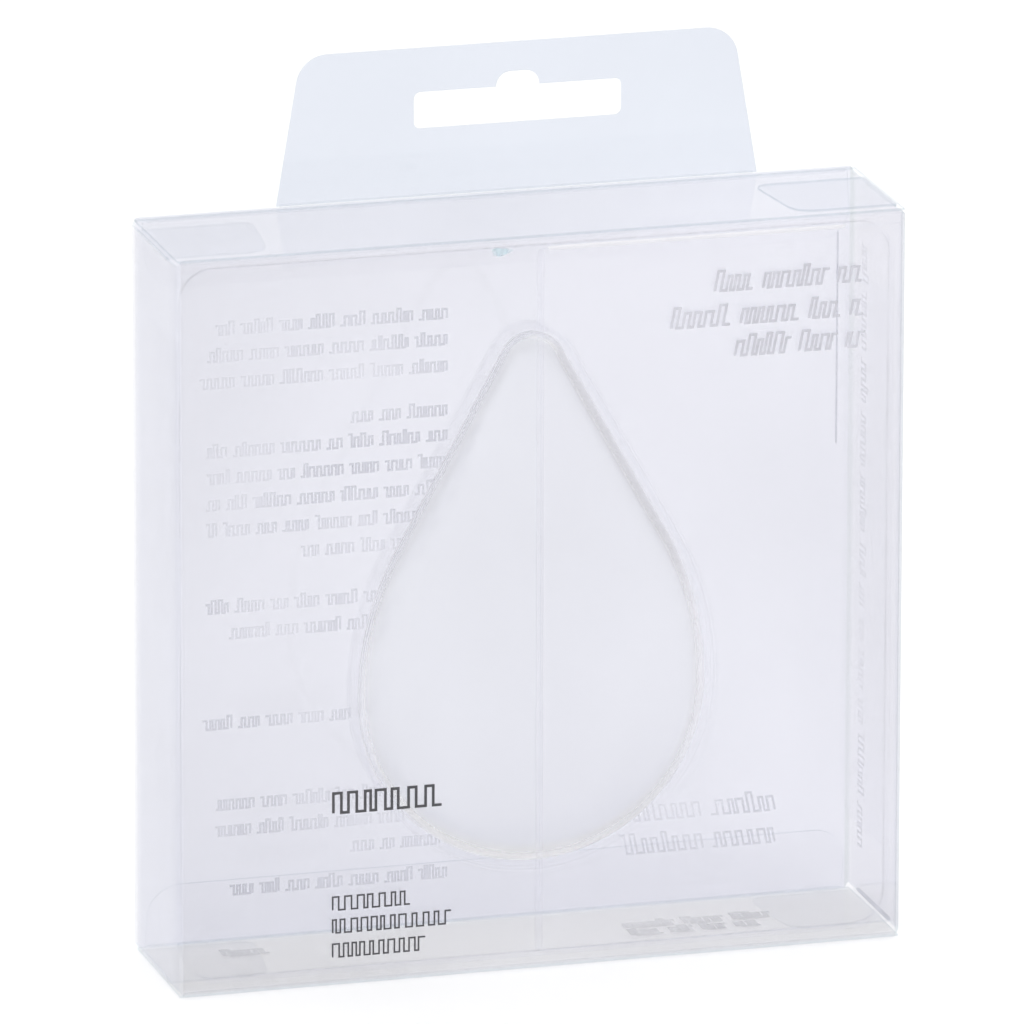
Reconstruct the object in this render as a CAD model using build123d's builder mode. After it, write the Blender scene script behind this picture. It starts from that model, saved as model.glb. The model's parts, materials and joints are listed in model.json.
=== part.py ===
"""Hanging retail carton of clear sheet, with a formed tray that holds a teardrop make-up applicator.

The carton is one creased sheet: four walls, a glue flap, a hang tab on the back wall, and at each end
a lid with a tuck flap and two dust flaps. Every panel that turns on a crease is a solid of its own.
Units are millimetres. +Z is up, the front faces -Y, and the origin is the centre of the base.
"""
from build123d import *
from math import cos, radians, sin, tan
import os

# Carton
WIDTH = 110.0            # outside, along X
DEPTH = 25.0             # outside, along Y
HEIGHT = 111.0           # outside, from base to closed lid
SHEET = 0.35             # thickness of the clear sheet
PLAY = 0.3               # between a lid and the dust flaps under it
FRONT = -DEPTH / 2
BACK = DEPTH / 2

# Lids and the flaps that tuck inside the back wall
LID_WIDTH = WIDTH - 0.6
LID_LENGTH = 24.05
TUCK_LENGTH = 10.0
TUCK_WIDTH = WIDTH - 3.0
TUCK_LEAN = 12.0         # degrees off the wall, so that the edge swings clear of it
TUCK_CORNER = 5.0

# Dust flaps
DUST_LENGTH = 17.0
DUST_FRONT_RELIEF = 5.0
DUST_BACK_RELIEF = 4.2
DUST_SLANT = 1.8         # the free end is shorter at its front
DUST_FRONT_CORNER = 3.5
DUST_BACK_CORNER = 2.0

# Glue flap, inside the right half of the front wall
GLUE_EDGE = -0.2         # X of its free edge
GLUE_RELIEF = 2.3        # short of the wall at top and bottom

# Hang tab
TAB_CENTRE = 3.3         # X of its middle
TAB_BASE = 73.0
TAB_HEIGHT = 22.3
TAB_SIDE_SLOPE = 9.5     # degrees
TAB_CORNER = 4.75
SLOT_BOTTOM = 10.2       # above the crease
SLOT_WIDTH = 31.5
SLOT_HEIGHT = 5.5
SLOT_CORNER = 1.0
BUMP_WIDTH = 6.6         # the peg's notch over the middle of the slot
BUMP_HEIGHT = 2.2

# Applicator, a teardrop of even thickness with a full round edge
DROP_HEIGHT = 80.0
DROP_RADIUS = 26.2       # of the round lower end
DROP_FLANK = 46.0        # radius of the flanks
DROP_FLANK_ANGLE = 29.0  # degrees that each flank turns before it runs straight
DROP_TIP = 5.0           # radius of the tip
DROP_THICK = 9.0
DROP_EDGE = 4.3
DROP_MIDDLE = 55.0       # Z of its middle

# Tray
TRAY_PLAY = 0.2          # behind the glue flap
TRAY_SIDE = 1.3          # from the outside of the carton to the tray's edge
TRAY_BOTTOM = 1.2
TRAY_TOP = 108.7
TRAY_CORNER = 5.0
RIM_DEPTH = 3.0          # the edge is turned back all round
TRAY_BACK_PLAY = 0.35    # between its side walls and the back wall
TRAY_WALL_RELIEF = 11.5  # its side walls stop short of its ends, clear of the tuck flaps
POCKET_PLAY = 0.4        # round the applicator, at the pocket's floor
POCKET_DEPTH = 9.3       # inside
POCKET_DRAFT = 3.0       # degrees

LID_FLOOR = HEIGHT - SHEET                   # underside of the closed lid
DUST_FLOOR = LID_FLOOR - PLAY - SHEET        # underside of the dust flaps, and top of the side walls
HALF_HEIGHT = Plane.XY.offset(HEIGHT / 2)
TRAY_FACE = FRONT + 2 * SHEET + TRAY_PLAY    # front face of the tray
DROP_FRONT = TRAY_FACE + 0.05

os.makedirs("parts", exist_ok=True)


def upright(y):
    """A plane facing the front, with sketch x along X and sketch y along Z."""
    return Plane(origin=(0, y, 0), x_dir=(1, 0, 0), z_dir=(0, -1, 0))


def save(piece, name):
    piece.part.label = name
    export_step(piece.part, f"parts/{name}.step")


def wall(name, x_low, x_high, y_low, y_high, z_low, z_high):
    """A flat panel, between opposite corners."""
    with BuildPart() as panel:
        with BuildSketch(Plane.XY.offset(z_low)):
            with Locations(((x_low + x_high) / 2, (y_low + y_high) / 2)):
                Rectangle(x_high - x_low, y_high - y_low)
        extrude(amount=z_high - z_low)
    save(panel, name)


def teardrop(grow=0.0):
    """The applicator's outline, grown outwards: round end, flanks, straight runs and tip."""
    angle = radians(DROP_FLANK_ANGLE)
    low = DROP_MIDDLE - DROP_HEIGHT / 2
    widest = low + DROP_RADIUS
    half = DROP_RADIUS + grow
    flank = DROP_FLANK + grow
    tip = DROP_TIP + grow
    tip_centre = low + DROP_HEIGHT - DROP_TIP
    with BuildSketch() as outline:
        with BuildLine():
            ThreePointArc((-half, widest), (0, low - grow), (half, widest))
            for side in (1, -1):
                waist = (side * half, widest)
                shoulder = (side * (half - flank * (1 - cos(angle))), widest + flank * sin(angle))
                tip_start = (side * tip * cos(angle), tip_centre + tip * sin(angle))
                TangentArc(waist, shoulder, tangent=(0, 1))
                Line(shoulder, tip_start)
            ThreePointArc((-tip * cos(angle), tip_centre + tip * sin(angle)), (0, tip_centre + tip),
                          (tip * cos(angle), tip_centre + tip * sin(angle)))
        make_face()
    return outline.sketch


# Walls
wall("front_panel", -WIDTH / 2, WIDTH / 2, FRONT, FRONT + SHEET, SHEET, LID_FLOOR)
wall("back_panel", -WIDTH / 2, WIDTH / 2, BACK - SHEET, BACK, 0, HEIGHT)
wall("left_side_panel", -WIDTH / 2, SHEET - WIDTH / 2, FRONT + SHEET, BACK - SHEET,
     HEIGHT - DUST_FLOOR, DUST_FLOOR)
wall("right_side_panel", WIDTH / 2 - SHEET, WIDTH / 2, FRONT + SHEET, BACK - SHEET,
     HEIGHT - DUST_FLOOR, DUST_FLOOR)
wall("glue_flap", GLUE_EDGE, WIDTH / 2 - SHEET, FRONT + SHEET, FRONT + 2 * SHEET,
     GLUE_RELIEF, HEIGHT - GLUE_RELIEF)

# Hang tab, which turns on a crease along the top edge of the back wall
crease_height = HEIGHT + SHEET / 2
tab_top_half = TAB_BASE / 2 - TAB_HEIGHT * tan(radians(TAB_SIDE_SLOPE))
with BuildPart() as hang_tab:
    with BuildSketch(upright(BACK)) as tab_sketch:
        with BuildLine():
            Polyline((TAB_CENTRE - TAB_BASE / 2, crease_height),
                     (TAB_CENTRE + TAB_BASE / 2, crease_height),
                     (TAB_CENTRE + tab_top_half, crease_height + TAB_HEIGHT),
                     (TAB_CENTRE - tab_top_half, crease_height + TAB_HEIGHT), close=True)
        make_face()
        fillet(tab_sketch.vertices().group_by(Axis.Y)[-1], TAB_CORNER)
    extrude(amount=SHEET)
    slot_middle = crease_height + SLOT_BOTTOM + SLOT_HEIGHT / 2
    with BuildSketch(upright(BACK)):
        with Locations((TAB_CENTRE, slot_middle)):
            RectangleRounded(SLOT_WIDTH, SLOT_HEIGHT, SLOT_CORNER)
        with Locations((TAB_CENTRE, slot_middle + SLOT_HEIGHT / 2)):
            SlotCenterToCenter(BUMP_WIDTH - 2 * BUMP_HEIGHT, 2 * BUMP_HEIGHT)
    extrude(amount=SHEET, mode=Mode.SUBTRACT)
save(hang_tab, "hang_tab")

# Closures: both ends alike, the lower one mirrored
lean = radians(TUCK_LEAN)
tuck_plane = Plane(origin=(0, FRONT + LID_LENGTH, LID_FLOOR), x_dir=(1, 0, 0),
                   z_dir=(0, cos(lean), -sin(lean)))
for end in ("top", "bottom"):
    with BuildPart() as lid:
        with BuildSketch(Plane.XY.offset(LID_FLOOR)):
            with Locations((0, FRONT + LID_LENGTH / 2)):
                Rectangle(LID_WIDTH, LID_LENGTH)
        extrude(amount=SHEET)
        if end == "bottom":
            mirror(about=HALF_HEIGHT, mode=Mode.REPLACE)
    save(lid, f"{end}_lid")

    with BuildPart() as tuck_flap:
        with BuildSketch(tuck_plane) as tuck_sketch:
            with Locations((0, TUCK_LENGTH / 2)):
                Rectangle(TUCK_WIDTH, TUCK_LENGTH)
            fillet(tuck_sketch.vertices().group_by(Axis.Y)[-1], TUCK_CORNER)
        extrude(amount=SHEET)
        if end == "bottom":
            mirror(about=HALF_HEIGHT, mode=Mode.REPLACE)
    save(tuck_flap, f"{end}_tuck_flap")

    for side in ("left", "right"):
        with BuildPart() as dust_flap:
            with BuildSketch(Plane.XY.offset(DUST_FLOOR)) as dust_sketch:
                with BuildLine():
                    Polyline((WIDTH / 2, FRONT + DUST_FRONT_RELIEF),
                             (WIDTH / 2 - DUST_LENGTH + DUST_SLANT, FRONT + DUST_FRONT_RELIEF),
                             (WIDTH / 2 - DUST_LENGTH, BACK - DUST_BACK_RELIEF),
                             (WIDTH / 2, BACK - DUST_BACK_RELIEF), close=True)
                make_face()
                free_end = dust_sketch.vertices().sort_by(Axis.X)[:2].sort_by(Axis.Y)
                fillet(free_end[0], DUST_FRONT_CORNER)
                back_corner = dust_sketch.vertices().group_by(Axis.Y)[-1].sort_by(Axis.X)[0]
                fillet(back_corner, DUST_BACK_CORNER)
            extrude(amount=SHEET)
            if side == "left":
                mirror(about=Plane.YZ, mode=Mode.REPLACE)
            if end == "bottom":
                mirror(about=HALF_HEIGHT, mode=Mode.REPLACE)
        save(dust_flap, f"{end}_{side}_dust_flap")

# Applicator
with BuildPart() as applicator:
    with BuildSketch(upright(DROP_FRONT + DROP_THICK)):
        add(teardrop())
    extrude(amount=DROP_THICK)
    faces = applicator.faces().filter_by(Axis.Y)
    fillet(faces.edges(), DROP_EDGE)
save(applicator, "applicator")

# Tray: a formed sheet with a turned-back rim, side walls that reach the back wall, and a pocket
tray_width = WIDTH - 2 * TRAY_SIDE
tray_height = TRAY_TOP - TRAY_BOTTOM
tray_middle = (TRAY_TOP + TRAY_BOTTOM) / 2
pocket_flare = POCKET_DEPTH * tan(radians(POCKET_DRAFT))
side_start = TRAY_FACE + SHEET
side_end = BACK - SHEET - TRAY_BACK_PLAY
with BuildPart() as tray:
    with BuildSketch(upright(TRAY_FACE)):
        with Locations((0, tray_middle)):
            RectangleRounded(tray_width, tray_height, TRAY_CORNER)
    extrude(amount=-RIM_DEPTH)
    with BuildSketch(upright(TRAY_FACE + SHEET)):
        with Locations((0, tray_middle)):
            RectangleRounded(tray_width - 2 * SHEET, tray_height - 2 * SHEET, TRAY_CORNER - SHEET)
    extrude(amount=SHEET - RIM_DEPTH, mode=Mode.SUBTRACT)
    for side in (-1, 1):
        with BuildSketch(Plane.YZ.offset(side * tray_width / 2)) as side_sketch:
            with Locations(((side_start + side_end) / 2, tray_middle)):
                Rectangle(side_end - side_start, tray_height - 2 * TRAY_WALL_RELIEF)
            fillet(side_sketch.vertices().group_by(Axis.X)[-1], TRAY_CORNER)
        extrude(amount=-side * SHEET)
    with BuildSketch(upright(TRAY_FACE + POCKET_DEPTH + SHEET)):
        add(teardrop(POCKET_PLAY + SHEET))
    with BuildSketch(upright(TRAY_FACE)):
        add(teardrop(POCKET_PLAY + SHEET + pocket_flare))
    loft()
    with BuildSketch(upright(TRAY_FACE + POCKET_DEPTH)):
        add(teardrop(POCKET_PLAY))
    with BuildSketch(upright(TRAY_FACE)):
        add(teardrop(POCKET_PLAY + pocket_flare))
    loft(mode=Mode.SUBTRACT)
save(tray, "tray")
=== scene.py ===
"""Looks of the clear hanging carton, its formed tray and the silicone applicator inside.

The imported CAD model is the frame. Lids, flaps and the hang tab keep their CAD shape and get a clear-sheet
material. The four walls are built again as the one creased sheet that they are, with rounded corners and a
slight crown. The tray and the applicator are built again with their rounds and draft. Creases are thin
rolled beads on the hinge lines, and thin ink marks, with no lettering, stand for the print.
Everything is in metres: +Z up, the front faces -Y.
"""
import json
import math
import random

import bpy
from mathutils import Matrix, Vector

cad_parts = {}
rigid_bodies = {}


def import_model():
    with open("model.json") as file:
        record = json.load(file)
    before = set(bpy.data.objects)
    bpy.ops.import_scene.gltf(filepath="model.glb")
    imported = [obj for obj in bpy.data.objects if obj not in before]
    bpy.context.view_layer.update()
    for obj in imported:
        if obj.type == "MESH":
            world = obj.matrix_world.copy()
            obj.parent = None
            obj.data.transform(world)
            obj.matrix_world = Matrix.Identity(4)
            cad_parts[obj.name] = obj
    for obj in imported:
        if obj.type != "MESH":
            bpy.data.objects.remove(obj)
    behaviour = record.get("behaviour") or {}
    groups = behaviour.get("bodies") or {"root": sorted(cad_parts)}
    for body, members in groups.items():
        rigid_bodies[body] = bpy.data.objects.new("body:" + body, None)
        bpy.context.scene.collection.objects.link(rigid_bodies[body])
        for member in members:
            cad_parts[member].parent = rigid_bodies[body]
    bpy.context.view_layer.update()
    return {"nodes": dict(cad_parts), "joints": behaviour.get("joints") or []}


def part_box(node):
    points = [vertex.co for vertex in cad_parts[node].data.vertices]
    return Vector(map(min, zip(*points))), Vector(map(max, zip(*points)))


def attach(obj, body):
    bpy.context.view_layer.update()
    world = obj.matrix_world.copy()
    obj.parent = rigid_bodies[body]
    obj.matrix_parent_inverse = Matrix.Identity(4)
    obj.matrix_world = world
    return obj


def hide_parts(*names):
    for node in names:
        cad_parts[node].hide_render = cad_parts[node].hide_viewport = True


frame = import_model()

MM = 0.001

# ---------------------------------------------------------------- places, from the frame
FRONT_LOW, FRONT_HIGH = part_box("front_panel")
BACK_LOW, BACK_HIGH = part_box("back_panel")
SIDE_LOW, SIDE_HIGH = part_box("right_side_panel")
GLUE_LOW, GLUE_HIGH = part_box("glue_flap")
TRAY_LOW, TRAY_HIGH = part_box("tray")
DROP_LOW, DROP_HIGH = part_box("applicator")
SHEET = FRONT_HIGH.y - FRONT_LOW.y
HALF_WIDTH = FRONT_HIGH.x
FRONT = FRONT_LOW.y
BACK = BACK_HIGH.y
HEIGHT = BACK_HIGH.z
MIDDLE = HEIGHT / 2
HINGES = {joint["name"]: joint for joint in frame["joints"]}

# ---------------------------------------------------------------- camera
AZIMUTH = math.radians(-16.29)
ELEVATION = math.radians(16.15)
ROLL = math.radians(0.15)
DISTANCE = 2.3365
LENS_MM = 562.5
AIM = Vector((-0.47, 1.75, 65.35)) * MM


def make_camera():
    out = Vector((math.sin(AZIMUTH) * math.cos(ELEVATION), -math.cos(AZIMUTH) * math.cos(ELEVATION),
                  math.sin(ELEVATION)))
    data = bpy.data.cameras.new("camera")
    data.lens = LENS_MM
    data.sensor_width = 36.0
    data.clip_start = 0.1
    data.clip_end = 100.0
    camera = bpy.data.objects.new("camera", data)
    bpy.context.scene.collection.objects.link(camera)
    turn = out.to_track_quat("Z", "Y").to_matrix().to_4x4() @ Matrix.Rotation(ROLL, 4, "Z")
    camera.matrix_world = Matrix.Translation(AIM + out * DISTANCE) @ turn
    bpy.context.scene.camera = camera


# ---------------------------------------------------------------- materials
def node(tree, kind, **sockets):
    """A new node with its sockets set, by name or, where a name starts with i, by number."""
    made = tree.nodes.new(kind)
    for name, value in sockets.items():
        key = int(name[1:]) if name[0] == "i" and name[1:].isdigit() else name.replace("_", " ")
        made.inputs[key].default_value = value
    return made


def math_node(tree, operation, first, second):
    """A math node whose inputs are numbers or sockets."""
    made = tree.nodes.new("ShaderNodeMath")
    made.operation = operation
    for slot, value in zip(made.inputs, (first, second)):
        if isinstance(value, (int, float)):
            slot.default_value = value
        else:
            tree.links.new(value, slot)
    return made.outputs[0]


def spread(tree, value, low, high, to_low, to_high):
    """value, from the range low to high, mapped to another range and held inside it."""
    made = node(tree, "ShaderNodeMapRange", From_Min=low, From_Max=high, To_Min=to_low, To_Max=to_high)
    tree.links.new(value, made.inputs["Value"])
    return made.outputs["Result"]


def mix_colour(tree, factor, first, second, kind="MIX"):
    """A colour mix whose factor and colours are values or sockets."""
    made = tree.nodes.new("ShaderNodeMix")
    made.data_type = "RGBA"
    made.blend_type = kind
    for name, value in (("Factor", factor), ("A", first), ("B", second)):
        slot = made.inputs[0] if name == "Factor" else made.inputs[6 if name == "A" else 7]
        if isinstance(value, bpy.types.NodeSocket):
            tree.links.new(value, slot)
        elif isinstance(value, tuple):
            slot.default_value = (*value, 1.0)
        else:
            slot.default_value = value
    return made.outputs[2]


def mix_shader(tree, factor, first, second):
    made = tree.nodes.new("ShaderNodeMixShader")
    if isinstance(factor, (int, float)):
        made.inputs[0].default_value = factor
    else:
        tree.links.new(factor, made.inputs[0])
    tree.links.new(first.outputs[0], made.inputs[1])
    tree.links.new(second.outputs[0], made.inputs[2])
    return made


def new_material(name):
    material = bpy.data.materials.new(name)
    material.use_nodes = True
    material.node_tree.nodes.clear()
    return material, material.node_tree, material.node_tree.nodes.new("ShaderNodeOutputMaterial")


def noise(tree, scale, detail=2.0, stretch=None):
    """Noise on the object's own coordinates, in features of about 1 / scale metres."""
    place = tree.nodes.new("ShaderNodeTexCoord")
    made = node(tree, "ShaderNodeTexNoise", Scale=scale, Detail=detail, Roughness=0.55)
    source = place.outputs["Object"]
    if stretch:
        turn = tree.nodes.new("ShaderNodeMapping")
        turn.inputs["Scale"].default_value = stretch
        tree.links.new(source, turn.inputs["Vector"])
        source = turn.outputs["Vector"]
    tree.links.new(source, made.inputs["Vector"])
    return made.outputs["Fac"]


# How dark the cut edges of panels look, the colour of haze in a sheet and in glue, and the white of a painted
# highlight
CUT_EDGE = (0.84, 0.87, 0.89)
DUST_EDGE = (0.80, 0.84, 0.87)
LOW_EDGE = (0.93, 0.94, 0.95)
VEIL = (0.88, 0.89, 0.94)
PAINTED_HIGHLIGHT_WHITE = (0.99, 0.99, 1.0)
GLOSS_ROUGHNESS = 0.07


def facing(tree):
    """0 where the surface is seen square on, 1 where it is seen edge on, on both of its faces."""
    return node(tree, "ShaderNodeLayerWeight", Blend=0.5).outputs["Facing"]


def gloss_share(tree, slant, shine):
    """Schlick's share of reflected light, the same on both faces of a thin sheet."""
    steep = math_node(tree, "MULTIPLY", math_node(tree, "POWER", slant, 5.0), 0.9 * shine)
    return math_node(tree, "ADD", steep, 0.04 * shine)


def clear_sheet(name, tint, deep=(0.86, 0.88, 0.91), haze=0.0, reflection_mottle=0.01, wave=0.10, flat=None,
                shine=1.0, left_foot_shade=None, cut_edge=CUT_EDGE, veil_colour=VEIL):
    """Clear glossy sheet. tint is what a whole sheet lets through, so each face lets through its root.

    Seen at a slant it deepens. flat is the direction that a flat panel faces: where a face turns away from
    it, that is the panel's cut edge, which looks darker and faintly green. left_foot_shade is painted shade:
    how much less it lets through at its left end and foot. haze is the share of veil_colour. shine scales the
    gloss.
    """
    material, tree, out = new_material(name)
    slant = facing(tree)
    square = tuple(math.sqrt(c) for c in tint)
    grazing = tuple(math.sqrt(c * d) for c, d in zip(tint, deep))
    colour = mix_colour(tree, math_node(tree, "POWER", slant, 6.0), square, grazing)
    # Painted reflection: faint darker cloudy patches in the sheet's tint stand in for patches of reflection.
    clouds = spread(tree, noise(tree, 24.0, 1.5), 0.35, 0.65, 1.0 - reflection_mottle, 1.0)
    colour = mix_colour(tree, 1.0, colour, clouds, "MULTIPLY")
    # Painted shade: the sheet lets through less towards its left end and its foot.
    if left_foot_shade:
        place = tree.nodes.new("ShaderNodeTexCoord")
        split = tree.nodes.new("ShaderNodeSeparateXYZ")
        tree.links.new(place.outputs["Object"], split.inputs["Vector"])
        left = spread(tree, split.outputs["X"], -HALF_WIDTH, -0.25 * HALF_WIDTH, 1 - left_foot_shade, 1.0)
        foot = spread(tree, split.outputs["Z"], 0.0, 0.2 * HEIGHT, 1 - left_foot_shade * 0.6, 1.0)
        colour = mix_colour(tree, 1.0, colour, math_node(tree, "MULTIPLY", left, foot), "MULTIPLY")
    if flat:
        place = tree.nodes.new("ShaderNodeTexCoord")
        along = tree.nodes.new("ShaderNodeVectorMath")
        along.operation = "DOT_PRODUCT"
        along.inputs[1].default_value = flat
        tree.links.new(place.outputs["Normal"], along.inputs[0])
        cut = math_node(tree, "LESS_THAN", math_node(tree, "ABSOLUTE", along.outputs["Value"], 0.0), 0.5)
        colour = mix_colour(tree, cut, colour, cut_edge)
    through = tree.nodes.new("ShaderNodeBsdfTransparent")
    tree.links.new(colour, through.inputs["Color"])
    gloss = node(tree, "ShaderNodeBsdfGlossy")
    gloss.inputs["Color"].default_value = (0.98, 0.98, 0.99, 1.0)
    scuffs = noise(tree, 900.0, 1.0, (1.0, 1.0, 0.08))
    rough = spread(tree, scuffs, 0.4, 0.75, GLOSS_ROUGHNESS, GLOSS_ROUGHNESS + 0.1)
    tree.links.new(rough, gloss.inputs["Roughness"])
    if wave:
        bump = node(tree, "ShaderNodeBump", Strength=wave, Distance=0.0006)
        tree.links.new(noise(tree, 30.0, 1.0), bump.inputs["Height"])
        tree.links.new(bump.outputs["Normal"], gloss.inputs["Normal"])
    shader = mix_shader(tree, gloss_share(tree, slant, shine), through, gloss)
    if haze:
        veil = tree.nodes.new("ShaderNodeBsdfDiffuse")
        veil.inputs["Color"].default_value = (*veil_colour, 1.0)
        shader = mix_shader(tree, haze, shader, veil)
    tree.links.new(shader.outputs[0], out.inputs["Surface"])
    return material


def silicone():
    """Clear soft silicone, faintly olive where it is looked through at a slant."""
    material, tree, out = new_material("clear_silicone")
    gel = node(tree, "ShaderNodeBsdfPrincipled", IOR=1.30, Roughness=0.34)
    gel.inputs["Transmission Weight"].default_value = 1.0
    slant = math_node(tree, "POWER", facing(tree), 1.6)
    colour = mix_colour(tree, slant, (0.985, 0.99, 0.985), (0.90, 0.90, 0.87))
    clouds = spread(tree, noise(tree, 60.0, 3.0), 0.35, 0.65, 0.98, 1.0)
    tree.links.new(mix_colour(tree, 1.0, colour, clouds, "MULTIPLY"), gel.inputs["Base Color"])
    bump = node(tree, "ShaderNodeBump", Strength=0.02, Distance=0.0004)
    tree.links.new(noise(tree, 40.0, 0.0), bump.inputs["Height"])
    tree.links.new(bump.outputs["Normal"], gel.inputs["Normal"])
    tree.links.new(gel.outputs["BSDF"], out.inputs["Surface"])
    return material


def ink(name, colour, cover_low, cover_high, patch=60.0):
    """Printed ink that covers unevenly, between two shares."""
    material, tree, out = new_material(name)
    clear = tree.nodes.new("ShaderNodeBsdfTransparent")
    paint = node(tree, "ShaderNodeBsdfPrincipled", Roughness=0.5)
    shade = spread(tree, noise(tree, 700.0), 0.3, 0.7, 0.88, 1.0)
    tree.links.new(mix_colour(tree, 1.0, colour, shade, "MULTIPLY"), paint.inputs["Base Color"])
    cover = spread(tree, noise(tree, patch, 1.0), 0.35, 0.65, cover_low, cover_high)
    inked = mix_shader(tree, cover, clear, paint)
    tree.links.new(inked.outputs[0], out.inputs["Surface"])
    return material


# ---------------------------------------------------------------- mesh helpers
SHARP_ANGLE = math.radians(35.0)


def mesh_object(name, points, faces, materials, indices=None, smooth=True):
    """An object from points and faces, with one material or several."""
    data = bpy.data.meshes.new(name)
    data.from_pydata([tuple(p) for p in points], [], faces)
    for material in materials:
        data.materials.append(material)
    if indices:
        data.polygons.foreach_set("material_index", indices)
    data.polygons.foreach_set("use_smooth", [smooth] * len(data.polygons))
    data.update()
    made = bpy.data.objects.new(name, data)
    bpy.context.scene.collection.objects.link(made)
    return made


def sharpen(piece):
    """Keep the sharper edges as edges, on a smooth-shaded mesh."""
    piece.data.set_sharp_from_angle(angle=SHARP_ANGLE)


def ring_faces(rings, count, closed=True):
    """Quads between neighbouring rings of count points each."""
    last = count if closed else count - 1
    faces = []
    for ring in range(rings - 1):
        near, far = ring * count, (ring + 1) * count
        for i in range(last):
            j = (i + 1) % count
            faces.append((near + i, near + j, far + j, far + i))
    return faces


def solidify(piece, thickness, offset):
    made = piece.modifiers.new("sheet", "SOLIDIFY")
    made.thickness = thickness
    made.offset = offset
    made.use_even_offset = True


# ---------------------------------------------------------------- carton walls
CORNER = 0.8 * MM        # outside radius of the upright creases
CROWN = 0.25 * MM        # how far the front and back walls bow out
LEVEL_BAND = 1.5 * MM    # beside the lids' creases the walls stay flat
ROWS = 16
CORNER_STEPS = 6
WALL_STEPS = 24


def bow(x, z):
    """How far the front and back walls stand out at x, z: most in the middle, nothing at the creases."""
    across = min(abs(x) / (HALF_WIDTH - CORNER), 1.0)
    up = min(abs(z - MIDDLE) / (MIDDLE - LEVEL_BAND), 1.0)
    return CROWN * (1 - across ** 2) * (1 - up ** 2)


def sleeve_outline():
    """Points round the walls, each with its outward direction and the wall that it is on."""
    x = HALF_WIDTH - CORNER
    y = BACK - CORNER
    walls = (("front", (-x, FRONT), (x, FRONT), (0, -1)), ("side", (HALF_WIDTH, -y), (HALF_WIDTH, y), (1, 0)),
             ("back", (x, BACK), (-x, BACK), (0, 1)), ("side", (-HALF_WIDTH, y), (-HALF_WIDTH, -y), (-1, 0)))
    points = []
    for wall, start, end, out in walls:
        steps = WALL_STEPS if wall != "side" else WALL_STEPS // 4
        for i in range(steps + 1):
            t = i / steps
            at = (start[0] + (end[0] - start[0]) * t, start[1] + (end[1] - start[1]) * t)
            points.append((*at, *out, wall))
        centre = (end[0] - out[0] * CORNER, end[1] - out[1] * CORNER)
        heading = math.atan2(out[1], out[0])
        for i in range(1, CORNER_STEPS):
            angle = heading + math.pi / 2 * i / CORNER_STEPS
            turn = (math.cos(angle), math.sin(angle))
            kind = "right_corner" if centre[0] > 0 else "left_corner"
            points.append((centre[0] + turn[0] * CORNER, centre[1] + turn[1] * CORNER, *turn, kind))
    return points


def wall_ends(y, wall):
    """Lowest and highest Z of a wall. The ends of the corners run from one wall's to the next one's."""
    ends = {"front": (FRONT_LOW.z, FRONT_HIGH.z), "side": (SIDE_LOW.z, SIDE_HIGH.z),
            "back": (BACK_LOW.z, BACK_HIGH.z)}
    if wall in ends:
        return ends[wall]
    share = ((abs(y) - (BACK - CORNER)) / CORNER) ** 4
    near = ends["front" if y < 0 else "back"]
    return tuple(s + (n - s) * share for s, n in zip(ends["side"], near))


def make_sleeve(materials):
    outline = sleeve_outline()
    count = len(outline)
    outer, inner = [], []
    band = LEVEL_BAND / HEIGHT
    rows = [0.0] + [band + (1 - 2 * band) * row / (ROWS - 2) for row in range(ROWS - 1)] + [1.0]
    for row in rows:
        for x, y, out_x, out_y, wall in outline:
            low, high = wall_ends(y, wall)
            z = low + (high - low) * row
            bulge = bow(x, z) if wall in ("front", "back") else 0.0
            place = Vector((x + out_x * bulge, y + out_y * bulge, z))
            outer.append(place)
            inner.append(place - Vector((out_x, out_y, 0)) * SHEET)
    kinds = {"front": 0, "side": 1, "back": 2, "left_corner": 4, "right_corner": 5}
    skin = ring_faces(ROWS + 1, count)
    shift = len(outer)
    faces = list(skin) + [tuple(shift + i for i in reversed(face)) for face in skin]
    indices = [kinds[outline[face[0] % count][4]] for face in skin] * 2
    for i in range(count):
        j = (i + 1) % count
        top = ROWS * count
        faces.append((j, i, shift + i, shift + j))
        faces.append((top + i, top + j, shift + top + j, shift + top + i))
        indices += [3, 3]
    piece = mesh_object("carton_sleeve", outer + inner, faces, materials, indices)
    sharpen(piece)
    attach(piece, "carton")
    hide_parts("front_panel", "back_panel", "left_side_panel", "right_side_panel")


def make_glue_flap(materials):
    """The flap glued inside the right half of the front wall, bowed with it."""
    gap = 0.02 * MM
    left, right = GLUE_LOW.x, HALF_WIDTH - CORNER
    across, up = WALL_STEPS // 2, ROWS
    near, far = [], []
    for row in range(up + 1):
        for i in range(across + 1):
            x = left + (right - left) * i / across
            z = GLUE_LOW.z + (GLUE_HIGH.z - GLUE_LOW.z) * row / up
            y = FRONT + SHEET + gap - bow(x, z)
            near.append((x, y, z))
            far.append((x, y + SHEET, z))
    count = across + 1
    skin = ring_faces(up + 1, count, closed=False)
    shift = len(near)
    faces = list(skin) + [tuple(shift + i for i in reversed(face)) for face in skin]
    edge = [i for i in range(count)] + [count - 1 + count * r for r in range(1, up + 1)]
    edge += [up * count + i for i in reversed(range(count - 1))] + [count * r for r in reversed(range(1, up))]
    indices = [0] * len(faces)
    for a, b in zip(edge, edge[1:] + edge[:1]):
        faces.append((b, a, shift + a, shift + b))
        indices.append(1)
    piece = mesh_object("glued_seam_flap", near + far, faces, materials, indices)
    sharpen(piece)
    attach(piece, "carton")
    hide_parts("glue_flap")


# ---------------------------------------------------------------- creases
BEAD_STEPS = 40
BEAD_SIDES = 16
LID_BEAD = 0.38 * MM     # radius
FLAP_BEAD = 0.28 * MM
TAB_INSET = 0.5 * MM
CREASE_INSET = 0.3 * MM


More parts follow.
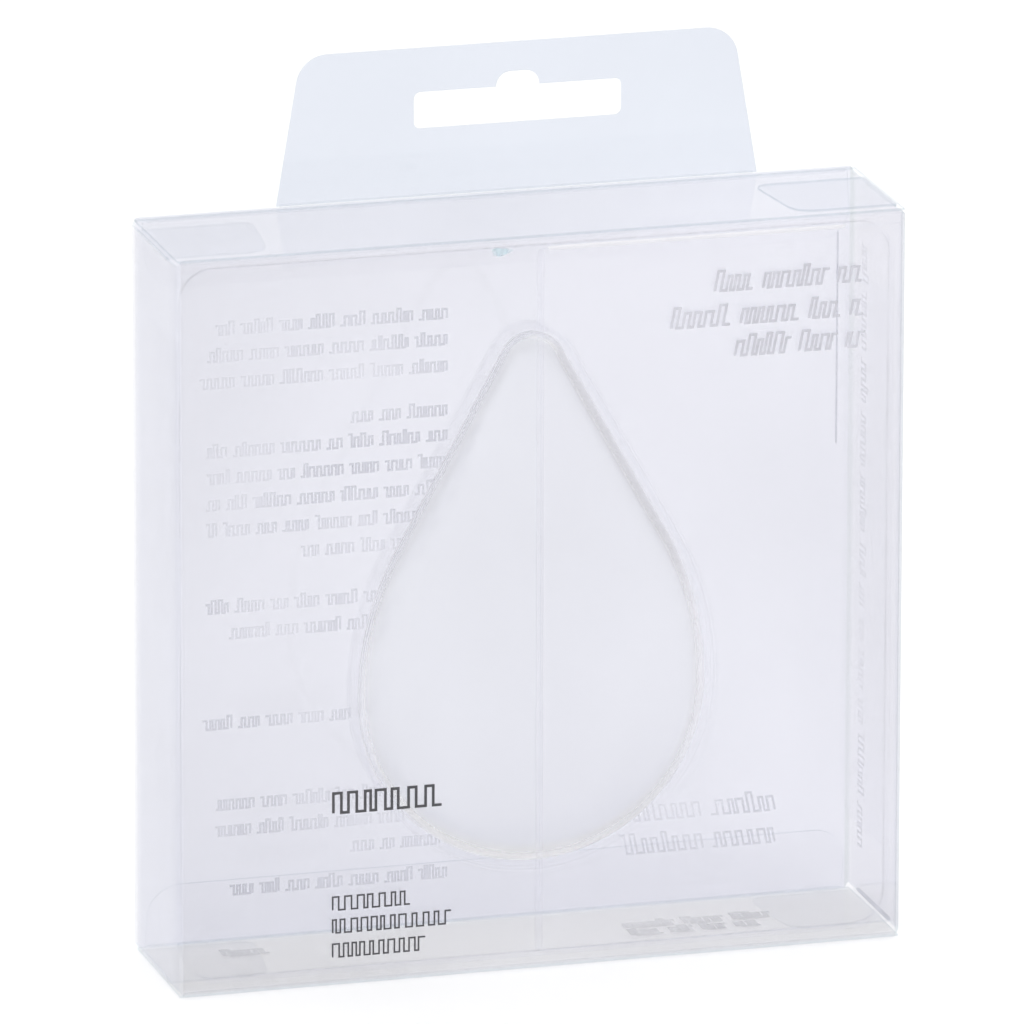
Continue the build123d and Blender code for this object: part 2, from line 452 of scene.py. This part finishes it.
def tube(name, start, end, across, up, material):
    """A thin bead from start to end, half-axes across and up, tapered to round ends."""
    start, end = Vector(start), Vector(end)
    along = (end - start).normalized()
    side = along.cross(Vector((0, 0, 1)) if abs(along.z) < 0.9 else Vector((0, 1, 0))).normalized()
    top = side.cross(along)
    length = (end - start).length
    taper = 2 * max(across, up)
    stations = [taper * (1 - math.cos(math.pi / 2 * i / 5)) for i in range(1, 5)]
    middle = [taper + (length - 2 * taper) * i / BEAD_STEPS for i in range(BEAD_STEPS + 1)]
    stations = stations + middle + [length - s for s in reversed(stations)]
    points = []
    for s in stations:
        reach = min(s, length - s, taper) / taper
        size = math.sqrt(max(1 - (1 - reach) ** 2, 0.0)) * (1 + 0.06 * math.sin(s / (4 * MM)))
        for i in range(BEAD_SIDES):
            angle = 2 * math.pi * i / BEAD_SIDES
            points.append(start + along * s + side * (math.cos(angle) * across * size)
                          + top * (math.sin(angle) * up * size))
    faces = ring_faces(len(stations), BEAD_SIDES)
    faces.append(tuple(reversed(range(BEAD_SIDES))))
    faces.append(tuple(range((len(stations) - 1) * BEAD_SIDES, len(stations) * BEAD_SIDES)))
    return mesh_object(name, points, faces, [material])


def make_creases(material, shaded_crease_material):
    """A rolled bead on each hinge line. It is round about the hinge, so it fits at every angle."""
    for name, joint in HINGES.items():
        centre = Vector(joint["pos_m"])
        low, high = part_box(joint["child"])
        radius = LID_BEAD if "lid" in name else FLAP_BEAD
        if "dust" in name:
            start, end = Vector((centre.x, low.y, centre.z)), Vector((centre.x, high.y, centre.z))
        else:
            inset = TAB_INSET if "tab" in name else CREASE_INSET
            start = Vector((low.x + inset, centre.y, centre.z))
            end = Vector((high.x - inset, centre.y, centre.z))
        # Painted shade: the bead on the bottom right dust crease is tinted much darker than the others.
        kind = shaded_crease_material if name == "bottom_right_dust_crease" else material
        piece = tube(f"{name}_bead", start, end, radius, radius, kind)
        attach(piece, joint["parent"])


# ---------------------------------------------------------------- teardrop outlines
DROP_RADIUS = 26.2 * MM
DROP_FLANK = 46.0 * MM
DROP_FLANK_ANGLE = math.radians(29.0)
DROP_TIP = 5.0 * MM
DROP_BASE = DROP_LOW.z
DROP_TOP = DROP_HIGH.z


def arc(centre, radius, start, end, steps):
    """Points on an arc in the X-Z plane, without its last one."""
    return [(centre[0] + radius * math.cos(start + (end - start) * i / steps),
             centre[1] + radius * math.sin(start + (end - start) * i / steps)) for i in range(steps)]


def line(start, end, steps):
    """Points on a straight run, without its last one."""
    return [(start[0] + (end[0] - start[0]) * i / steps, start[1] + (end[1] - start[1]) * i / steps)
            for i in range(steps)]


def teardrop(grow=0.0):
    """The applicator's outline grown outwards, from its left waist: round end, flank, straight run, tip."""
    waist = DROP_BASE + DROP_RADIUS
    half = DROP_RADIUS + grow
    flank = DROP_FLANK + grow
    tip = DROP_TIP + grow
    tip_centre = DROP_TOP - DROP_TIP
    turn = DROP_FLANK_ANGLE
    shoulder = (half - flank * (1 - math.cos(turn)), waist + flank * math.sin(turn))
    tip_start = (tip * math.cos(turn), tip_centre + tip * math.sin(turn))
    points = arc((0, waist), half, math.pi, 2 * math.pi, 96)
    points += arc((half - flank, waist), flank, 0, turn, 32)
    points += line(shoulder, tip_start, 24)
    points += arc((0, tip_centre), tip, turn, math.pi - turn, 32)
    points += line((-tip_start[0], tip_start[1]), (-shoulder[0], shoulder[1]), 24)
    points += arc((flank - half, waist), flank, math.pi - turn, math.pi, 32)
    return points


def shrunk(outline, share):
    """An outline drawn in towards the middle of the applicator's round end."""
    centre = DROP_BASE + DROP_RADIUS * 1.15
    return [(x * share, centre + (z - centre) * share) for x, z in outline]


FACE_SHARES = (0.9, 0.78, 0.64, 0.48, 0.3, 0.12)


def face_rings(outline, y_edge, y_middle):
    """Rings that fill a face inside an outline, bowed from y_edge to y_middle."""
    rings = []
    for share in FACE_SHARES:
        y = y_middle + (y_edge - y_middle) * share ** 2
        rings.append([(x, y, z) for x, z in shrunk(outline, share)])
    return rings


def loft(name, rings, materials, cap_first=False, cap_last=False):
    count = len(rings[0])
    points = [p for ring in rings for p in ring]
    faces = ring_faces(len(rings), count)
    if cap_first:
        faces.append(tuple(reversed(range(count))))
    if cap_last:
        faces.append(tuple(range((len(rings) - 1) * count, len(rings) * count)))
    return mesh_object(name, points, faces, materials)


# ---------------------------------------------------------------- applicator
DROP_EDGE = 4.3 * MM     # radius of the round edge
EDGE_STEPS = 18
PILLOW = 0.22 * MM       # how far each face swells


def make_applicator(material):
    front, back = DROP_LOW.y, DROP_HIGH.y
    front_edge, back_edge = front + PILLOW, back - PILLOW
    inner = teardrop(-DROP_EDGE)
    rings = list(reversed(face_rings(inner, front_edge, front)))
    for i in range(EDGE_STEPS + 1):
        angle = math.pi / 2 * i / EDGE_STEPS
        y = front_edge + DROP_EDGE * (1 - math.cos(angle))
        rings.append([(x, y, z) for x, z in teardrop(-DROP_EDGE * (1 - math.sin(angle)))])
    for i in range(EDGE_STEPS + 1):
        angle = math.pi / 2 * (1 - i / EDGE_STEPS)
        y = back_edge - DROP_EDGE * (1 - math.cos(angle))
        rings.append([(x, y, z) for x, z in teardrop(-DROP_EDGE * (1 - math.sin(angle)))])
    rings += face_rings(inner, back_edge, back)
    piece = loft("applicator_gel", rings, [material], cap_first=True, cap_last=True)
    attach(piece, "carton")
    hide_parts("applicator")


# ---------------------------------------------------------------- tray
TRAY_CORNER = 5.0 * MM
RIM_DEPTH = 3.0 * MM
WALL_RELIEF = 11.5 * MM  # its side walls stop short of its ends
POCKET_PLAY = 0.4 * MM
POCKET_DEPTH = 9.3 * MM
POCKET_DRAFT = math.radians(3.0)
MOUTH_ROUND = 0.8 * MM
FLOOR_ROUND = 1.2 * MM
RIM_ROUND = 0.9 * MM
WALL_RINGS = 6           # down the pocket's wall


def rounded_rectangle(half_x, half_z, radius):
    """Points on a rounded rectangle about the tray's middle, as many as a teardrop has and beside them."""
    x, z = half_x - radius, half_z - radius
    start = z - 2 * z * 18 / 26
    points = line((-half_x, start), (-half_x, -z), 16) + arc((-x, -z), radius, math.pi, 1.5 * math.pi, 16)
    points += line((-x, -half_z), (x, -half_z), 32) + arc((x, -z), radius, -math.pi / 2, 0, 16)
    points += line((half_x, -z), (half_x, z), 52) + arc((x, z), radius, 0, math.pi / 2, 16)
    points += line((x, half_z), (-x, half_z), 40) + arc((-x, z), radius, math.pi / 2, math.pi, 16)
    points += line((-half_x, z), (-half_x, start), 36)
    return [(px, pz + (TRAY_HIGH.z + TRAY_LOW.z) / 2) for px, pz in points]


def make_tray(material):
    face = TRAY_LOW.y
    half_x, half_z = TRAY_HIGH.x, (TRAY_HIGH.z - TRAY_LOW.z) / 2
    flare = POCKET_DEPTH * math.tan(POCKET_DRAFT)

    def frame_ring(inset):
        return rounded_rectangle(half_x - inset, half_z - inset, TRAY_CORNER - inset)

    rings = []
    for inset, depth in ((0.0, RIM_DEPTH), (0.0, RIM_DEPTH / 2), (0.0, RIM_ROUND)):
        rings.append([(x, face + depth, z) for x, z in frame_ring(inset)])
    for i in range(1, 5):
        angle = math.pi / 2 * i / 4
        rings.append([(x, face + RIM_ROUND * (1 - math.sin(angle)), z)
                      for x, z in frame_ring(RIM_ROUND * (1 - math.cos(angle)))])
    outside = frame_ring(RIM_ROUND)
    inside = teardrop(POCKET_PLAY + flare + MOUTH_ROUND)
    for share in (0.2, 0.4, 0.6, 0.8):
        rings.append([(a[0] + (b[0] - a[0]) * share, face, a[1] + (b[1] - a[1]) * share)
                      for a, b in zip(outside, inside)])
    for i in range(5):
        angle = math.pi / 2 * i / 4
        rings.append([(x, face + MOUTH_ROUND * (1 - math.cos(angle)), z)
                      for x, z in teardrop(POCKET_PLAY + flare + MOUTH_ROUND * (1 - math.sin(angle)))])
    wall_start, wall_end = MOUTH_ROUND, POCKET_DEPTH - FLOOR_ROUND
    for i in range(1, WALL_RINGS + 1):
        depth = wall_start + (wall_end - wall_start) * i / WALL_RINGS
        grow = POCKET_PLAY + (POCKET_DEPTH - depth) * math.tan(POCKET_DRAFT)
        rings.append([(x, face + depth, z) for x, z in teardrop(grow)])
    for i in range(1, 6):
        angle = math.pi / 2 * i / 5
        rings.append([(x, face + wall_end + FLOOR_ROUND * math.sin(angle), z)
                      for x, z in teardrop(POCKET_PLAY - FLOOR_ROUND * (1 - math.cos(angle)))])
    floor = teardrop(POCKET_PLAY - FLOOR_ROUND)
    rings += face_rings(floor, face + POCKET_DEPTH, face + POCKET_DEPTH)
    piece = loft("tray_formed_sheet", rings, [material], cap_last=True)
    solidify(piece, SHEET, -1.0)
    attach(piece, "carton")
    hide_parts("tray")


def make_tray_wall(name, side, material):
    """A flat side wall of the tray, from its turned-back edge to the carton's back wall."""
    front, back = TRAY_LOW.y + RIM_DEPTH, TRAY_HIGH.y
    low, high = TRAY_LOW.z + WALL_RELIEF, TRAY_HIGH.z - WALL_RELIEF
    inset = TRAY_CORNER
    outline = line((front, low), (back - inset, low), 12)
    outline += arc((back - inset, low + inset), inset, -math.pi / 2, 0, 20)
    outline += line((back, low + inset), (back, high - inset), 48)
    outline += arc((back - inset, high - inset), inset, 0, math.pi / 2, 20)
    outline += line((back - inset, high), (front, high), 12) + line((front, high), (front, low), 48)
    count = len(outline)
    outer, inner = side * TRAY_HIGH.x, side * (TRAY_HIGH.x - SHEET)
    points = [(x, y, z) for x in (outer, inner) for y, z in outline]
    faces = [tuple(range(count)), tuple(reversed(range(count, 2 * count)))]
    faces += [(i, count + i, count + (i + 1) % count, (i + 1) % count) for i in range(count)]
    if side < 0:
        faces = [tuple(reversed(face)) for face in faces]
    piece = mesh_object(name, points, faces, [material])
    sharpen(piece)
    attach(piece, "carton")


# ---------------------------------------------------------------- print: marks with no lettering
INK_THICK = 0.02 * MM
INK_LIFT = 0.004 * MM
SLANT = 0.2              # of the slanted lines, across for each step up
# Print on the back, in millimetres: each block's first line, how many lines, and the last one's share
TEXT_BLOCKS = ((92.4, 3, 1.0), (77.7, 1, 0.4), (73.9, 5, 0.6), (50.2, 2, 0.9), (32.5, 1, 1.0), (20.1, 3, 0.4),
               (6.9, 1, 0.9))
TEXT_PITCH = 4.0
TEXT_START = 7.3
TEXT_WIDTH = 38.0
FLECK_X = -6.4 * MM
FLECK_Z = 108.9 * MM
FLECK_HALF_WIDTH = 1.5 * MM
FLECK_HALF_HEIGHT = 0.6 * MM


def on_front(across, up, lift):
    return Vector((across, FRONT - bow(across, up) - lift, up))


def on_back(across, up, lift):
    """across runs to the right as seen from behind."""
    return Vector((-across, BACK + bow(across, up) + lift, up))


def on_right_side(across, up, lift):
    """The line runs upwards, and its own up is towards the front."""
    return Vector((HALF_WIDTH + lift, -up, across))


def on_base(across, up, lift):
    return Vector((across, up, -lift))


def word(start, length, height, low_case, dice):
    """A stroke that goes up, across and down like a meander, in place of a word's letters."""
    path = [(start, 0.0)]
    across = start
    raised = False
    while across < start + length:
        top = height * (1.4 if low_case and dice.random() < 0.18 else 1.0)
        raised = not raised
        level = top if raised else 0.0
        path.append((across, level))
        across += height * dice.uniform(0.26, 0.52)
        path.append((across, level))
    return path


def ribbon(path, weight, slant, place, points, faces):
    """A flat closed strip along a path of square turns, laid on a surface by place."""
    left, right = [], []
    for i, (across, up) in enumerate(path):
        turns = []
        for a, b in ((i - 1, i), (i, i + 1)):
            if a >= 0 and b < len(path):
                run = Vector((path[b][0] - path[a][0], path[b][1] - path[a][1])).normalized()
                turns.append(Vector((-run.y, run.x)))
        side = turns[0] if turns[0] == turns[-1] else turns[0] + turns[-1]
        for points_side, sign in ((left, 1), (right, -1)):
            u = across + side.x * weight / 2 * sign
            v = up + side.y * weight / 2 * sign
            points_side.append((u + slant * v, v))
    first = len(points)
    count = len(path)
    for lift in (INK_LIFT + INK_THICK, INK_LIFT):
        for u, v in left + right:
            points.append(place(u, v, lift))
    under = 2 * count
    for i in range(count - 1):
        faces.append((first + i, first + count + i, first + count + i + 1, first + i + 1))
        faces.append(tuple(under + n for n in reversed(faces[-1])))
    edge = [first + i for i in range(count)] + [first + count + i for i in reversed(range(count))]
    for a, b in zip(edge, edge[1:] + edge[:1]):
        faces.append((a, b, under + b, under + a))


def print_lines(name, lines, height, weight, surface, material, body="carton", slant=0.0, low_case=True,
                longest=4.5, seed=1):
    """Lines of meander words. Each line is its start and end across, and the height of its base."""
    dice = random.Random(seed)
    points, faces = [], []
    for start, end, base in lines:
        across = start
        while across < end - height:
            length = min(height * dice.uniform(longest / 3, longest), end - across - height * 0.5)

            def place(u, v, lift):
                return surface(u, base + v, lift)

            path = word(across, length, height, low_case, dice)
            ribbon(path, weight, slant, place, points, faces)
            across = path[-1][0] + height * 0.75
    piece = mesh_object(name, points, faces, [material], smooth=False)
    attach(piece, body)


def mm_lines(lines):
    return [tuple(value * MM for value in line) for line in lines]


def clear_of_drop(height):
    """In millimetres, how far out the lines on the back start, so that they run round the applicator."""
    widest = (DROP_BASE + DROP_RADIUS) / MM
    top = DROP_TOP / MM
    if height > top:
        return 0.0
    half = DROP_RADIUS / MM
    if height > widest:
        return half * (top - height) / (top - widest) * 1.12 - 4.0
    return math.sqrt(max(half ** 2 - (widest - height) ** 2, 0.0)) - 4.0


def make_print():
    dark = ink("ink_dark", (0.075, 0.074, 0.082), 0.9, 1.0)
    grey = ink("ink_grey", (0.66, 0.66, 0.72), 0.85, 1.0)
    faint = ink("ink_faint", (0.50, 0.50, 0.56), 0.08, 0.30, patch=45.0)
    heading = mm_lines([(-31.6, -14.8, 26.2)])
    print_lines("print_front_heading", heading, 3.0 * MM, 0.42 * MM, on_front, dark, low_case=False,
                longest=18.0, seed=3)
    notes = mm_lines([(-31.7, -19.0, 11.4), (-31.7, -12.9, 7.9), (-31.7, -17.3, 4.2)])
    print_lines("print_front_notes", notes, 2.0 * MM, 0.26 * MM, on_front, dark, low_case=False,
                longest=12.0, seed=5)
    title = mm_lines([(25.9, 49.2, 100.6), (19.3, 49.2, 95.5), (29.0, 49.2, 90.7)])
    print_lines("print_front_title", title, 2.1 * MM, 0.42 * MM, on_front, grey, slant=SLANT, seed=7)
    text = []
    for top, count, last in TEXT_BLOCKS:
        for i in range(count):
            base = top - TEXT_PITCH * i
            share = last if i == count - 1 else 0.97
            start = max(TEXT_START, clear_of_drop(base + 6.0))
            text.append((start, max(TEXT_START + TEXT_WIDTH * share, start + 4.0), base))
    print_lines("print_back_text", mm_lines(text), 1.35 * MM, 0.34 * MM, on_back, faint, seed=11)
    tags = mm_lines([(-43.4, -19.6, 13.0), (-43.4, -18.8, 8.0)])
    print_lines("print_back_tags", tags, 2.1 * MM, 0.34 * MM, on_back, faint, slant=SLANT, longest=9.0,
                seed=13)
    column = mm_lines([(8.0, 103.0, -8.5)])
    print_lines("print_side_column", column, 2.0 * MM, 0.40 * MM, on_right_side, faint, seed=17)
    soft = ink("ink_soft", (0.45, 0.45, 0.48), 0.12, 0.32, patch=45.0)
    bars = mm_lines([(17.5, 42.0, 2.0), (17.5, 38.0, -1.6), (-43.0, -34.0, 5.0)])
    print_lines("print_base_bars", bars, 2.0 * MM, 0.8 * MM, on_base, soft, body="bottom_lid", seed=19)


def make_fleck():
    """A small tinted smear near the top edge of the front wall."""
    material = ink("fleck_tint", (0.56, 0.72, 0.78), 0.15, 0.55, patch=500.0)
    dice = random.Random(23)
    steps = 28
    rim = []
    for i in range(steps):
        angle = 2 * math.pi * i / steps
        reach = 1.0 + 0.18 * math.sin(3 * angle + 1.0) + 0.08 * dice.uniform(-1, 1)
        rim.append((FLECK_X + FLECK_HALF_WIDTH * reach * math.cos(angle),
                    FLECK_Z + FLECK_HALF_HEIGHT * reach * math.sin(angle)))
    points = [on_front(x, z, lift) for lift in (INK_LIFT + INK_THICK, INK_LIFT) for x, z in rim]
    faces = [tuple(range(steps)), tuple(reversed(range(steps, 2 * steps)))]
    faces += [(i, steps + i, steps + (i + 1) % steps, (i + 1) % steps) for i in range(steps)]
    piece = mesh_object("fleck", points, faces, [material], smooth=False)
    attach(piece, "carton")


# ---------------------------------------------------------------- glue lines and a painted highlight
def make_glue_lines_and_highlight(clear, white, grey):
    """Glue beads on the glued flap's free edge and a short run at the right; a painted highlight on its top
    edge.
    """
    y = FRONT + 2 * SHEET
    behind = y + 0.1 * MM
    left, low, high = GLUE_LOW.x, GLUE_LOW.z, GLUE_HIGH.z
    right = 44.8 * MM
    runs = (("seam_glue_line", (left, y, low), (left, y, high), 0.55, 0.12, clear),
            # Painted highlight: a white bead along the flap's top edge stands in for its bright glint.
            ("seam_top_painted_highlight", (left + 1 * MM, y, high), (46 * MM, y, high), 0.16, 0.30, white),
            ("seam_short_line", (right, behind, 76 * MM), (right, behind, 108 * MM), 0.14, 0.1, grey))
    for name, start, end, across, deep, material in runs:
        piece = tube(name, start, end, across * MM, deep * MM, material)
        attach(piece, "carton")


# ---------------------------------------------------------------- stage
FLOOR_DROP = 0.3 * MM
WHITE = (1.0, 1.0, 1.0, 1.0)
LAMP_AIM = Vector((0, 0, 0.06))
# Each lamp's place, size in metres and power in watts
LAMPS = (("key", (-0.9, -0.9, 1.4), 0.5, 6.7), ("rim", (0.9, 0.6, 1.2), 0.4, 3.4))


def make_floor():
    bpy.ops.mesh.primitive_plane_add(size=8.0, location=(0, 0, -FLOOR_DROP))
    floor = bpy.context.object
    floor.name = "floor"
    material, tree, out = new_material("stage_floor")
    paint = node(tree, "ShaderNodeBsdfDiffuse")
    paint.inputs["Color"].default_value = (0.96, 0.96, 0.96, 1.0)
    tree.links.new(paint.outputs["BSDF"], out.inputs["Surface"])
    floor.data.materials.append(material)


def make_world():
    """Plain white for the camera, and for light and reflections a room that is dimmer at the sides."""
    world = bpy.data.worlds.new("studio")
    bpy.context.scene.world = world
    world.use_nodes = True
    tree = world.node_tree
    tree.nodes.clear()
    direction = tree.nodes.new("ShaderNodeTexCoord")
    split = tree.nodes.new("ShaderNodeSeparateXYZ")
    tree.links.new(direction.outputs["Generated"], split.inputs[0])
    behind_camera = spread(tree, split.outputs["Y"], -0.9, 0.3, 0.85, 1.0)
    sideways = math_node(tree, "ABSOLUTE", split.outputs["X"], 0.0)
    room = math_node(tree, "MULTIPLY", behind_camera, spread(tree, sideways, 0.55, 0.95, 1.0, 0.80))
    sky = tree.nodes.new("ShaderNodeBackground")
    sky.inputs["Color"].default_value = WHITE
    tree.links.new(room, sky.inputs["Strength"])
    plain = node(tree, "ShaderNodeBackground", Strength=1.0)
    plain.inputs["Color"].default_value = WHITE
    seen = tree.nodes.new("ShaderNodeLightPath")
    both = mix_shader(tree, seen.outputs["Is Camera Ray"], sky, plain)
    out = tree.nodes.new("ShaderNodeOutputWorld")
    tree.links.new(both.outputs[0], out.inputs["Surface"])


def make_lamps():
    for name, place, size, power in LAMPS:
        data = bpy.data.lights.new(name, "AREA")
        data.size = size
        data.energy = power
        lamp = bpy.data.objects.new(name, data)
        bpy.context.scene.collection.objects.link(lamp)
        lamp.visible_transmission = False
        lamp.visible_glossy = False
        turn = (LAMP_AIM - Vector(place)).to_track_quat("-Z", "Y").to_matrix().to_4x4()
        lamp.matrix_world = Matrix.Translation(Vector(place)) @ turn


# ---------------------------------------------------------------- making
make_camera()
make_floor()
make_world()
make_lamps()
scene = bpy.context.scene
scene.view_settings.view_transform = "Standard"
scene.cycles.transparent_max_bounces = 48
scene.cycles.max_bounces = 12
scene.cycles.diffuse_bounces = 2
scene.cycles.glossy_bounces = 6
scene.cycles.transmission_bounces = 8

edges = clear_sheet("sheet_cut_edge", (0.82, 0.87, 0.89))
seam_edges = clear_sheet("seam_cut_edge", (0.90, 0.92, 0.95))
# The walls, corners, tab, lids and flaps are one clear sheet. Their tints carry its own faint lilac-blue, but
# how much darker one panel is than another is painted light and shade: the right corners, tab, back and sides
# are painted darker, and the base darker than the lids.
front = clear_sheet("sheet_front", (0.94, 0.935, 0.95), haze=0.01, reflection_mottle=0.012, left_foot_shade=0.028)
sides = clear_sheet("sheet_side", (0.84, 0.84, 0.875))
left_corners = clear_sheet("sheet_left_corner", (0.93, 0.93, 0.95), deep=(0.80, 0.82, 0.85))
shaded_right_corners = clear_sheet("sheet_right_corner_painted_shade", (0.72, 0.75, 0.78), deep=(0.55, 0.60, 0.62))
backs = clear_sheet("sheet_back", (0.815, 0.825, 0.885), reflection_mottle=0.015)
tabs = clear_sheet("sheet_tab", (0.759, 0.791, 0.863), reflection_mottle=0.015, flat=(0, 1, 0))
lids = clear_sheet("sheet_lid", (0.995, 0.995, 1.0), flat=(0, 0, 1), shine=0.3)
dusts = clear_sheet("sheet_dust", (0.945, 0.95, 0.97), flat=(0, 0, 1), shine=0.5, cut_edge=DUST_EDGE)
left_dusts = clear_sheet("sheet_left_dust", (0.945, 0.95, 0.97), flat=(0, 0, 1), shine=0.5, cut_edge=LOW_EDGE)
low_dusts = clear_sheet("sheet_low_dust", (0.985, 0.985, 0.985), flat=(0, 0, 1), shine=0.5,
                        cut_edge=LOW_EDGE)
bases = clear_sheet("sheet_base", (0.93, 0.93, 0.92), flat=(0, 0, 1), shine=0.5)
tucks = clear_sheet("sheet_tuck", (0.995, 0.995, 1.0), flat=(0, 1, 0), wave=0.0, shine=0.5)
seam = clear_sheet("sheet_seam", (0.995, 0.995, 1.0), reflection_mottle=0.004, wave=0.0)
beads = clear_sheet("sheet_crease", (0.965, 0.97, 0.98), deep=(0.84, 0.86, 0.88), haze=0.05, wave=0.0)
# Painted shade: a much darker crease bead, for the bottom right dust crease.
shaded_crease_beads = clear_sheet("sheet_crease_painted_shade", (0.68, 0.69, 0.73), deep=(0.6, 0.62, 0.66), wave=0.0, shine=0.2)
glue = clear_sheet("glue_clear", (0.97, 0.97, 0.98), deep=(0.85, 0.86, 0.90), haze=0.05, wave=0.0)
# Painted highlight: a white, mostly diffuse veil for the bright line along the glued flap's top edge.
painted_highlight_line = clear_sheet("painted_highlight_line", (0.97, 0.97, 0.98), haze=0.9, wave=0.0, veil_colour=PAINTED_HIGHLIGHT_WHITE)
glue_dark = clear_sheet("glue_grey", (0.72, 0.72, 0.76), deep=(0.8, 0.8, 0.85), wave=0.0)
formed = clear_sheet("tray_sheet", (0.99, 0.99, 0.993), deep=(0.94, 0.945, 0.955), reflection_mottle=0.004, wave=0.2,
                     shine=0.7)

# The CAD nodes that stay: the first of these words that is in a node's name says its material
SHEETS = (("hang_tab", tabs), ("tuck", tucks), ("top_left_dust", left_dusts), ("top_right_dust", dusts),
          ("dust", low_dusts), ("bottom", bases))
for name, o in frame["nodes"].items():
    o.data.materials.clear()
    o.data.materials.append(next((sheet for word, sheet in SHEETS if word in name), lids))
make_sleeve([front, sides, backs, edges, left_corners, shaded_right_corners])
make_glue_flap([seam, seam_edges])
make_glue_lines_and_highlight(glue, painted_highlight_line, glue_dark)
make_creases(beads, shaded_crease_beads)
make_applicator(silicone())
make_tray(formed)
make_tray_wall("tray_left_wall", -1, formed)
make_tray_wall("tray_right_wall", 1, formed)
make_print()
make_fleck()
for o in bpy.context.scene.objects:
    if o.type == "MESH" and o.name != "floor":
        o.visible_shadow = False
